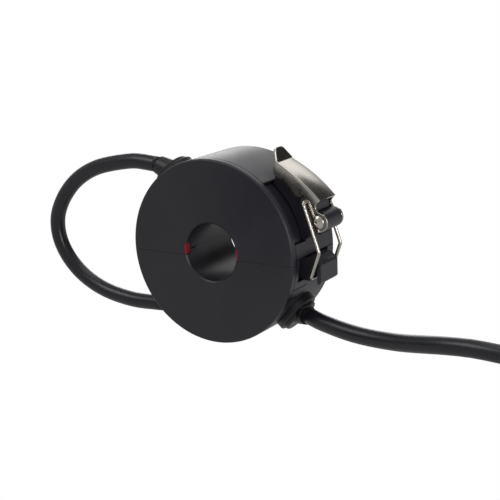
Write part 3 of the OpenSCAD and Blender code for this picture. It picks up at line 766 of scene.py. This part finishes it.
@dataclass
class CableTie:
    """A nylon cable tie drawn tight round the hank, its cut tail standing from the head.

    Its strap is drawn in Y and Z. The section gives each corner as a share of the width and of
    half the thickness.
    """

    at_x: float = 191.0
    low: tuple[float, float] = (-26.15, -37.2)
    high: tuple[float, float] = (-12.55, -17.0)
    corner: float = 3.35
    width: float = 5.0
    thick: float = 0.8
    head: Point = (7.4, 6.4, 4.2)
    head_y: float = -18.4
    head_sunk: float = 0.05
    head_taper: float = 0.88
    head_edge: float = 0.45
    tail: tuple[tuple[float, float], ...] = ((-13.6, -15.65), (-11.4, -15.3), (-9.2, -14.5))
    section: tuple[tuple[float, float], ...] = (
        (-0.5, 0.7), (-0.4, 1), (0.4, 1), (0.5, 0.7), (0.5, -0.7), (0.4, -1), (-0.4, -1), (-0.5, -0.7))

    def _line(self) -> list[Vector]:
        """Returns the strap's middle line: out of the head, round the hank and through the head."""
        radius = self.corner + self.thick / 2
        left, right = self.low[0] + self.corner, self.high[0] - self.corner
        bottom, top = self.low[1] + self.corner, self.high[1] - self.corner
        line = [Vector((self.head_y, top + radius))]
        corners = ((right, top, 90), (right, bottom, 0), (left, bottom, -90), (left, top, -180))
        for y, z, start in corners:
            line += circle_points((y, z), radius, start, start - 90, 9)
        line.append(Vector((self.head_y - self.head[1] / 2, top + radius + self.thick * 0.9)))
        line += [Vector(q) for q in self.tail]
        return line

    def _rings(self) -> list[list[Vector]]:
        """Returns the strap's section at each point of its middle line."""
        line = self._line()
        rings = []
        for k, point in enumerate(line):
            ahead = (line[min(k + 1, len(line) - 1)] - line[max(k - 1, 0)]).normalized()
            out = Vector((-ahead.y, ahead.x)) * self.thick / 2
            spots = [(self.at_x + x * self.width, point + out * lift) for x, lift in self.section]
            rings.append([Vector((x, spot.x, spot.y)) * MM for x, spot in spots])
        return rings

    def _head(self, nylon: bpy.types.Material) -> bpy.types.Object:
        """Makes the head: a small block that narrows upward, with eased edges."""
        work = bmesh.new()
        bmesh.ops.create_cube(work, size=1.0)
        bottom = self.high[1] - self.head_sunk
        for vertex in work.verts:
            x, y, z = vertex.co
            taper = 1 if z < 0 else self.head_taper
            vertex.co = Vector((self.at_x + x * self.head[0] * taper,
                                self.head_y + y * self.head[1] * taper,
                                bottom + (z + 0.5) * self.head[2])) * MM
        bmesh.ops.bevel(work, geom=list(work.edges), offset=self.head_edge * MM, segments=3,
                        affect="EDGES")
        return piece_from(work, "coil_tie_head", nylon, 30)

    def build(self, shelf: FinishShelf) -> list[bpy.types.Object]:
        """Makes the strap and the head in place of the CAD tie.

        Args:
            shelf: the finishes.

        Returns:
            The strap and the head.
        """
        nylon = shelf.get(Slot.TIE)
        strap = loft("coil_tie_strap", self._rings(), nylon, 30)
        head = self._head(nylon)
        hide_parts("coil_tie")
        return [strap, head]


@dataclass
class OutputLead:
    """The lead to the meter: free near the housing, then stored in a tied hank."""

    diameter: float = 6.7
    route: list[Point] = field(default_factory=lambda: [
        (44.3, -7.8, -25.6), (49.8, -9.5, -26.1), (55.6, -11, -26.6), (61.9, -12.3, -27),
        (68.6, -13.4, -27.1), (75.4, -14.7, -26.8), (82.5, -16.4, -26.1), (89.7, -18.4, -24.9),
        (96.7, -20.3, -23.6), (103.6, -21.8, -22.5), (113.5, -23.1, -21.6), (124.8, -23.7, -21.9),
        (135, -23.6, -23.1), (144.5, -23.2, -25), (153, -22.8, -26.6),
    ])
    hank: Hank = field(default_factory=Hank)
    tail_end: Point = (247, -22.7, -34.55)
    tail_steps: tuple[float, ...] = (0.35, 0.65, 0.9, 1.0)
    stripped: StrippedEnd = field(default_factory=StrippedEnd)
    tie: CableTie = field(default_factory=CableTie)

    def build(self, shelf: FinishShelf, gland: "Gland") -> bpy.types.Object:
        """Sweeps the whole lead from its gland to its stripped end.

        Args:
            shelf: the finishes.
            gland: the gland that it leaves.

        Returns:
            The lead, attached to the lower half with its bare cores and its tie.
        """
        wound = self.hank.path()
        free = smooth_path([gland.mouth(), *metres(self.route), wound[0]], per_span=2)
        end = Vector(self.tail_end) * MM
        tail = [wound[-1].lerp(end, t) for t in self.tail_steps]
        path = [*free[:-1], *wound, *tail]
        radius = self.diameter / 2 * MM
        lead = sweep("output_lead_whole", path, [radius] * len(path), shelf.get(Slot.SHEATH),
                     sides=24)
        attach(lead, "lower_half")
        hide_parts("output_lead", "lead_coil", "lead_tail")
        ahead = (end - wound[-1]).normalized()
        carried = [*self.stripped.build(shelf, end, ahead), *self.tie.build(shelf)]
        for piece in carried:
            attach(piece, "lower_half")
        LOG.info("output lead is %.3f m long, %.3f m of it in the hank", path_length(path),
                 path_length(wound))
        return lead


# --------------------------------------------------------------------------- sub-assemblies


@dataclass
class Gland:
    """A rubber gland: its angle round the drum and the way that its cable leaves."""

    angle: float
    leaves: Point
    drum_radius: float = 38.0
    step_height: float = 4.0
    sunk: float = 3.4
    spout: float = 5.5

    def mouth(self) -> Vector:
        """Returns the point where the cable leaves the gland."""
        turn = math.radians(self.angle)
        reach = self.drum_radius + self.step_height - self.sunk
        root = Vector((math.cos(turn), 0, math.sin(turn))) * reach
        return (root + Vector(self.leaves).normalized() * (self.spout + self.sunk)) * MM


class CarriedNodes:
    """The CAD nodes: each gets its real finish, and the pieces below take the place of some."""

    def dress(self, shelf: FinishShelf) -> None:
        """Gives every node of the frame the finish that its record slot names.

        Args:
            shelf: the finishes.
        """
        slots = {row["node"]: row["material_slot"] for row in frame["record"]["subparts"]}
        for name, node in frame["nodes"].items():
            node.data.materials.clear()
            node.data.materials.append(shelf.get(Slot(slots[name])))
            LOG.info("dressed %s", name)


@dataclass
class SheetLever:
    """The draw latch's lever, pressed from one sheet: crowned back, side walls, ears, thumb tab.

    Its side view is drawn in X and Z. The walls reach down to a line that runs round the drum at
    an even distance, and the ears hang from them over the bail and rivet. A share of the back
    runs from 0 at the heel to 1 at the bend, and on to the tab's root and its tip.
    """

    heel: tuple[float, float] = (44.8, 22.7)
    bend: tuple[float, float] = (26.3, 36.45)
    crown: float = 0.9
    tab_dir: tuple[float, float] = (-0.48, 0.877)
    tab_len: float = 5.3
    bend_r: float = 1.6
    half_w: float = 6.9
    root_half: float = 6.1
    tip_half: float = 2.9
    sheet: float = 1.0
    corner: float = 0.9
    clear_r: float = 40.0
    pivot: tuple[float, float] = (43.9, 14.1)
    hook: tuple[float, float] = (38.6, 21.8)
    ear_r: float = 4.1
    hook_boss: float = 2.2
    bend_share: float = 0.1
    ear_share: float = 0.28
    wall_share: float = 0.47
    taper_share: float = 0.45
    heel_depth: float = 3.2
    ear_depth: float = 4.3
    tip_round: float = 0.9

    def _back(self) -> list[tuple[Vector, Vector, float]]:
        """Returns the outer face's stations: a point, its outward direction and its share."""
        a, b = Vector(self.heel), Vector(self.bend)
        along = (b - a).normalized()
        out = Vector((along.y, -along.x))
        chord = (b - a).length
        radius = (chord * chord / 4 + self.crown ** 2) / (2 * self.crown)
        centre = (a + b) / 2 - out * (radius - self.crown)
        half = math.degrees(math.asin(chord / 2 / radius))
        middle = math.degrees(math.atan2(out.y, out.x))
        stations = []
        for k in range(25):
            turn = math.radians(middle - half + 2 * half * k / 24 * 0.985)
            normal = Vector((math.cos(turn), math.sin(turn)))
            stations.append((centre + normal * radius, normal, k / 24))
        point, normal, _ = stations[-1]
        last = math.atan2(normal.y, normal.x)
        tab_out = Vector((self.tab_dir[1], -self.tab_dir[0]))
        end = math.atan2(tab_out.y, tab_out.x)
        hub = point + normal * self.bend_r
        for k in range(1, 7):
            turn = last + (end - last) * k / 6
            normal = Vector((math.cos(turn), math.sin(turn)))
            stations.append((hub - normal * self.bend_r, normal, 1 + self.bend_share * k / 6))
        point, root = stations[-1][0], 1 + self.bend_share
        for k in range(1, 9):
            spot = point + Vector(self.tab_dir) * self.tab_len * k / 8
            stations.append((spot, tab_out, root + k / 8))
        return stations

    def _depth(self, point: Vector, normal: Vector, share: float) -> float:
        """Returns how deep the side walls are at a station of the back."""
        across = point.dot(normal)
        past = max(self.clear_r ** 2 - point.length_squared + across ** 2, 0)
        to_clear = across - math.sqrt(past)
        if share <= self.ear_share:
            return self.heel_depth + (self.ear_depth - self.heel_depth) * share / self.ear_share
        if share <= self.wall_share:
            t = (share - self.ear_share) / (self.wall_share - self.ear_share)
            return self.ear_depth + (to_clear - self.ear_depth) * t
        if share <= 1.0:
            return to_clear
        return max(self.sheet + 0.02, to_clear * (1 + self.bend_share - share) / self.bend_share)

    def _half(self, share: float) -> float:
        """Returns the half width at a station of the back or the tab."""
        root = 1 + self.bend_share
        if share <= self.taper_share:
            return self.half_w
        if share <= root:
            t = (share - self.taper_share) / (root - self.taper_share)
            return self.half_w + (self.root_half - self.half_w) * t
        t = share - root
        side = self.root_half + (self.tip_half - self.root_half) * t
        return side - self.tip_round * max(0.0, (t - 0.85) / 0.15) ** 2

    def _section(self, point: Vector, normal: Vector, share: float) -> list[Vector]:
        """Returns the closed section of the sheet at a station: outside, then back along the inside."""
        half, deep, t = self._half(share), self._depth(point, normal, share), self.sheet
        r_out = min(self.corner, deep * 0.45)
        r_in = max(r_out - t * 0.75, 0.06)
        flat: list[tuple[float, float]] = [(-half, deep)]
        wide, high = half - r_out, r_out
        flat += [(-wide - q.x, high - q.y) for q in circle_points((0, 0), r_out, 0, 90, 6)]
        flat += [(wide + q.x, high - q.y) for q in circle_points((0, 0), r_out, 90, 0, 6)]
        flat += [(half, deep), (half - t, deep)]
        wide, high = half - t - r_in, t + r_in
        flat += [(wide + q.x, high - q.y) for q in circle_points((0, 0), r_in, 0, 90, 4)]
        flat += [(-wide - q.x, high - q.y) for q in circle_points((0, 0), r_in, 90, 0, 4)]
        flat.append((-half + t, deep))
        return [Vector((point.x - normal.x * d, y, point.y - normal.y * d)) * MM for y, d in flat]

    def _ear_outline(self) -> list[Vector]:
        """Returns the ear's outline in X and Z, from the back's heel round the rivet and the hook."""
        heel, pivot, hook = Vector(self.heel), Vector(self.pivot), Vector(self.hook)
        notch = [heel + Vector(q) for q in (
            (-0.5, -0.15), (-0.85, -0.75), (-1.45, -1.55), (-1.85, -2.3), (-1.85, -3.0), (-1.5, -3.7),
            (-1.0, -4.5))]
        round_rivet = circle_points(pivot, self.ear_r, 50, -163, 36)
        round_hook = circle_points(hook, self.hook_boss, 200, 150, 8)
        wall = [Vector((36.9, 24.6)), Vector((38.2, 27.0)), Vector((40.4, 25.6))]
        return [*notch, *round_rivet, *round_hook, *wall, heel + Vector((-2.2, 0.3))]

    def _ear(self, side: int, material: bpy.types.Material) -> bpy.types.Object:
        """Makes one ear: a plate with eased edges, on the side that -1 or 1 names."""
        inner, outer = self.half_w - self.sheet, self.half_w - 0.02
        outline = self._ear_outline()
        work = bmesh.new()
        rings = [[work.verts.new(Vector((q.x, side * y, q.y)) * MM) for q in outline]
                 for y in (inner, outer)]
        for ring in rings:
            work.faces.new(ring)
        for k in range(len(outline)):
            n = (k + 1) % len(outline)
            work.faces.new((rings[0][k], rings[0][n], rings[1][n], rings[1][k]))
        bmesh.ops.recalc_face_normals(work, faces=work.faces)
        rim = [e for e in work.edges if e.calc_face_angle(0) > 1.2 and
               abs(e.verts[0].co.y - e.verts[1].co.y) < 1e-6]
        bmesh.ops.bevel(work, geom=rim, offset=0.16 * MM, segments=2, affect="EDGES",
                        clamp_overlap=True)
        bmesh.ops.triangulate(work, faces=[f for f in work.faces if len(f.verts) > 4])
        return piece_from(work, "latch_ear_left" if side < 0 else "latch_ear_right", material, 30)

    def build(self, shelf: FinishShelf) -> list[bpy.types.Object]:
        """Makes the lever's channel and ears in place of its CAD solid.

        Args:
            shelf: the finishes.

        Returns:
            The channel and both ears.
        """
        steel = shelf.get(Slot.STEEL)
        channel = loft("latch_lever_channel", [self._section(*s) for s in self._back()], steel, 50)
        pieces = [channel, self._ear(-1, steel), self._ear(1, steel)]
        for piece in pieces:
            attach(piece, "lever")
        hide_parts("latch_lever")
        return pieces


@dataclass
class Rivet:
    """The lever's pivot: a rivet through the barrel with two domed heads, turned about its axis."""

    pivot: tuple[float, float] = (43.9, 14.1)
    shank_r: float = 1.5
    head_r: float = 2.7
    head_h: float = 1.1
    seat: float = 6.95
    sides: int = 40

    def build(self, shelf: FinishShelf) -> bpy.types.Object:
        """Makes the rivet in place of its CAD solid.

        Args:
            shelf: the finishes.

        Returns:
            The rivet.
        """
        ball = (self.head_r ** 2 + self.head_h ** 2) / (2 * self.head_h)
        spread = math.degrees(math.asin(self.head_r / ball))
        crown = self.seat + self.head_h - ball
        turns = [math.radians(spread * k / 9) for k in range(1, 10)]
        dome = [(ball * math.sin(t), crown + ball * math.cos(t)) for t in turns]
        half = [*dome, (self.head_r - 0.08, self.seat), (self.shank_r, self.seat),
                (self.shank_r, self.seat - 2)]
        profile = [(r, -y) for r, y in half] + half[::-1]
        around = [2 * math.pi * k / self.sides for k in range(self.sides)]
        x, z = self.pivot
        rings = [[Vector((x + radius * math.cos(t), y, z + radius * math.sin(t))) * MM
                  for t in around] for radius, y in profile]
        rivet = loft("latch_rivet", rings, shelf.get(Slot.STEEL), 40)
        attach(rivet, "upper_half")
        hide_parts("latch_pin")
        return rivet


@dataclass
class WireBail:
    """The bail: one wire bent round from ear to ear, with its ends turned in through the ears."""

    wire: float = 1.5
    half: float = 9.0
    end: float = 5.6
    hook: tuple[float, float] = (38.6, 21.8)
    kink: tuple[float, float] = (45.2, 2.6)
    bar: tuple[float, float] = (41.25, -8.2)
    bend_r: float = 1.3

    def _corners(self) -> list[Point]:
        """Returns the wire's corners from one end to the other."""
        (hx, hz), (kx, kz), (bx, bz), w = self.hook, self.kink, self.bar, self.half
        right = [(hx, self.end, hz), (hx, w, hz), (kx, w, kz), (bx, w, bz)]
        return [(x, -y, z) for x, y, z in right] + right[::-1]

    def _bender(self, steel: bpy.types.Material) -> bpy.types.NodeTree:
        """Returns a node group that rounds a line's corners and draws a wire along it."""
        tree = bpy.data.node_groups.new("Bent wire", "GeometryNodeTree")
        sockets = [("Line", "INPUT", "NodeSocketGeometry"),
                   ("Bend radius", "INPUT", "NodeSocketFloat"),
                   ("Wire radius", "INPUT", "NodeSocketFloat"),
                   ("Wire", "OUTPUT", "NodeSocketGeometry")]
        for name, way, kind in sockets:
            tree.interface.new_socket(name=name, in_out=way, socket_type=kind)
        given = add_node(tree, "NodeGroupInput")
        line = add_node(tree, "GeometryNodeMeshToCurve", {"Mesh": given.outputs["Line"]})
        bent = add_node(tree, "GeometryNodeFilletCurve", {
            "Curve": line.outputs["Curve"], "Radius": given.outputs["Bend radius"]})
        mode = bent.inputs.get("Mode")
        if mode is not None:
            mode.default_value = "Poly"
        else:
            bent.mode = "POLY"
        bent.inputs["Count"].default_value = 8
        ring = add_node(tree, "GeometryNodeCurvePrimitiveCircle", {
            "Resolution": 20, "Radius": given.outputs["Wire radius"]})
        drawn = add_node(tree, "GeometryNodeCurveToMesh", {
            "Curve": bent.outputs["Curve"], "Profile Curve": ring.outputs["Curve"], "Fill Caps": True})
        smooth = add_node(tree, "GeometryNodeSetShadeSmooth", {"Geometry": drawn.outputs["Mesh"]})
        real = add_node(tree, "GeometryNodeRealizeInstances", {"Geometry": smooth.outputs["Geometry"]})
        coated = add_node(tree, "GeometryNodeSetMaterial", {
            "Geometry": real.outputs["Geometry"], "Material": steel})
        add_node(tree, "NodeGroupOutput", {"Wire": coated.outputs["Geometry"]})
        return tree

    def build(self, shelf: FinishShelf) -> bpy.types.Object:
        """Bends the wire in place of the bail's CAD solid.

        Args:
            shelf: the finishes.

        Returns:
            The bail.
        """
        steel = shelf.get(Slot.STEEL)
        corners = metres(self._corners())
        mesh = bpy.data.meshes.new("latch_bail_wire")
        spans = [(k, k + 1) for k in range(len(corners) - 1)]
        mesh.from_pydata([tuple(c) for c in corners], spans, [])
        bail = add_object("latch_bail_wire", mesh)
        bend = bail.modifiers.new("Bend", "NODES")
        bend.node_group = self._bender(steel)
        values = {"Bend radius": self.bend_r * MM, "Wire radius": self.wire / 2 * MM}
        for item in bend.node_group.interface.items_tree:
            if item.name in values:
                bend[item.identifier] = values[item.name]
        bake_modifiers(bail)
        finish_mesh(bail, 50)
        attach(bail, "bail")
        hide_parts("latch_bail")
        return bail


# Each softbox: its name, middle, width and height in metres, and its brightness, white being 1.
SOFTBOXES: tuple[tuple[str, Point, float, float, float], ...] = (
    ("low_back_softbox", (-0.746, 1.148, 0.291), 0.75, 0.45, 2.4),
    ("high_back_softbox", (-0.117, 1.112, 0.843), 0.55, 0.5, 0.95),
    ("key_softbox", (-0.55, -0.6, 0.95), 0.6, 0.6, 2.6),
    ("top_softbox", (0.1, 0.15, 1.3), 0.8, 0.6, 1.8),
    ("side_softbox", (1.0, 0.02, 0.14), 0.5, 0.34, 2.0),
    ("rim_softbox", (0.92, -0.62, 0.12), 0.1, 0.7, 15.0),
)
# Each card: its name, middle, width and height in metres, and its colour.
FLAGS: tuple[tuple[str, Point, float, float, str], ...] = (
    ("dark_flag", (0.4, 0.71, 0.4), 0.62, 0.5, "#3c3c3c"),
    ("low_flag", (-0.02, -0.1, 0.003), 0.04, 0.048, "#0c0c0c"),
)


@dataclass
class Studio:
    """Pale floor, soft lamps, cards for the reflections, and the camera."""

    floor_z: float = -38.0
    floor_half: float = 3.0
    floor_gap: float = 0.0002
    camera_at: Point = (258.4, -396.7, 118.4)
    azimuth: float = 32.25
    elevation: float = 14.41
    roll: float = -2.19
    lens: float = 85.0
    fill: float = 0.4
    floor_gloss: float = 0.5

    def camera(self) -> None:
        """Sets the camera at the viewing angle, in metres, with no shift."""
        a, e, w = (math.radians(v) for v in (self.azimuth, self.elevation, self.roll))
        ahead = Vector((-math.sin(a) * math.cos(e), math.cos(a) * math.cos(e), -math.sin(e)))
        right = Vector((math.cos(a), math.sin(a), 0))
        up = Vector((-math.sin(a) * math.sin(e), math.cos(a) * math.sin(e), math.cos(e)))
        level_right = right * math.cos(w) + up * math.sin(w)
        level_up = -right * math.sin(w) + up * math.cos(w)
        turn = Matrix((level_right, level_up, -ahead)).transposed().to_4x4()
        data = bpy.data.cameras.new("Camera")
        data.lens = self.lens
        data.sensor_width = 36.0
        data.clip_start = 0.01
        data.clip_end = 20.0
        camera = add_object("Camera", data)
        camera.matrix_world = Matrix.Translation(Vector(self.camera_at) * MM) @ turn
        bpy.context.scene.camera = camera

    def floor(self) -> None:
        """Lays the floor: pale under the lamps, and white where the camera looks at it."""
        size, z = self.floor_half, self.floor_z * MM - self.floor_gap
        material = bpy.data.materials.new("Paper sweep, white")
        material.use_nodes = True
        tree = material.node_tree
        tree.nodes.clear()
        paper = add_node(tree, "ShaderNodeBsdfDiffuse", {"Color": linear("#dcdcdc")})
        path = add_node(tree, "ShaderNodeLightPath")
        level = add_node(tree, "ShaderNodeMapRange", {
            "Value": path.outputs["Is Camera Ray"], "To Min": self.floor_gloss, "To Max": 1.0})
        white = add_node(tree, "ShaderNodeEmission", {
            "Color": (1, 1, 1, 1), "Strength": level.outputs["Result"]})
        seen = add_node(tree, "ShaderNodeMath", {
            0: path.outputs["Is Camera Ray"], 1: path.outputs["Is Glossy Ray"]}, operation="MAXIMUM")
        mix = add_node(tree, "ShaderNodeMixShader", {
            "Fac": seen.outputs["Value"], 1: paper.outputs["BSDF"], 2: white.outputs["Emission"]})
        add_node(tree, "ShaderNodeOutputMaterial", {"Surface": mix.outputs["Shader"]})
        corners = [(-size, -size, z), (size, -size, z), (size, size, z), (-size, size, z)]
        floor = new_piece("floor", corners, [(0, 1, 2, 3)], material, smooth=False)

    def world(self) -> None:
        """Fills the room with an even grey light and shows the camera a white background."""
        world = bpy.data.worlds.new("Studio")
        bpy.context.scene.world = world
        world.use_nodes = True
        tree = world.node_tree
        tree.nodes.clear()
        path = add_node(tree, "ShaderNodeLightPath")
        seen = add_node(tree, "ShaderNodeMath", {
            0: path.outputs["Is Camera Ray"], 1: path.outputs["Is Transmission Ray"]},
            operation="MAXIMUM")
        fill, shown = (add_node(tree, "ShaderNodeBackground", {
            "Color": (1, 1, 1, 1), "Strength": strength}) for strength in (self.fill, 1.0))
        mix = add_node(tree, "ShaderNodeMixShader", {
            "Fac": seen.outputs["Value"], 1: fill.outputs["Background"],
            2: shown.outputs["Background"]})
        add_node(tree, "ShaderNodeOutputWorld", {"Surface": mix.outputs["Shader"]})

    def lamp(self, name: str, at: Point, width: float, height: float, brightness: float) -> None:
        """Adds a softbox aimed at the object.

        Args:
            name: the lamp's name.
            at: its place in metres.
            width: the width of its panel, in metres.
            height: the height of its panel, in metres.
            brightness: how bright its panel is, where 1 is the white background.
        """
        data = bpy.data.lights.new(name, "AREA")
        data.shape = "RECTANGLE"
        data.size = width
        data.size_y = height
        data.energy = brightness * math.pi * width * height
        place = Vector(at)
        turn = self._facing(place).to_4x4()
        add_object(name, data).matrix_world = Matrix.Translation(place) @ turn

    def _facing(self, place: Vector) -> Matrix:
        """Returns the turn that points a panel's -Z from a place to the object, kept level."""
        back = place.normalized()
        right = Vector((0, 0, 1)).cross(back)
        right = right.normalized() if right.length > 1e-4 else Vector((1, 0, 0))
        return Matrix((right, back.cross(right), back)).transposed()

    def card(self, name: str, at: Point, width: float, height: float, colour: str) -> None:
        """Stands a card that steel and gloss reflect, out of the camera's view.

        Args:
            name: the card's name.
            at: its middle, in metres.
            width: its width in metres.
            height: its height in metres.
            colour: its sRGB hex colour.
        """
        material = bpy.data.materials.new(f"Card, {name}")
        material.use_nodes = True
        tree = material.node_tree
        tree.nodes.clear()
        felt = add_node(tree, "ShaderNodeBsdfDiffuse", {"Color": linear(colour)})
        add_node(tree, "ShaderNodeOutputMaterial", {"Surface": felt.outputs["BSDF"]})
        place = Vector(at)
        turn = self._facing(place)
        corners = [place + turn @ Vector((sx * width / 2, sy * height / 2, 0))
                   for sx, sy in ((-1, -1), (1, -1), (1, 1), (-1, 1))]
        card = new_piece(name, corners, [(3, 2, 1, 0)], material, smooth=False)
        card.visible_camera = False

    def build(self) -> None:
        """Sets up floor, world, softboxes and cards."""
        self.floor()
        self.world()
        for softbox in SOFTBOXES:
            self.lamp(*softbox)
        for flag in FLAGS:
            self.card(*flag)


def main() -> None:
    """Builds the camera, cords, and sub-assemblies and studio in order."""
    logging.basicConfig(level=logging.INFO, format="%(name)s: %(message)s")
    bpy.context.scene.view_settings.view_transform = "Standard"
    studio = Studio()
    studio.camera()
    shelf = FinishShelf()
    CarriedNodes().dress(shelf)
    upper = Gland(135, (-0.93, 0, 0.37))
    lower = Gland(-135, (-0.93, 0, -0.37))
    lead_gland = Gland(-41, (0.87, -0.49, 0.04))
    LinkCable().build(shelf, upper, lower)
    OutputLead().build(shelf, lead_gland)
    SheetLever().build(shelf)
    Rivet().build(shelf)
    WireBail().build(shelf)
    studio.build()


if __name__ == "__main__":
    main()
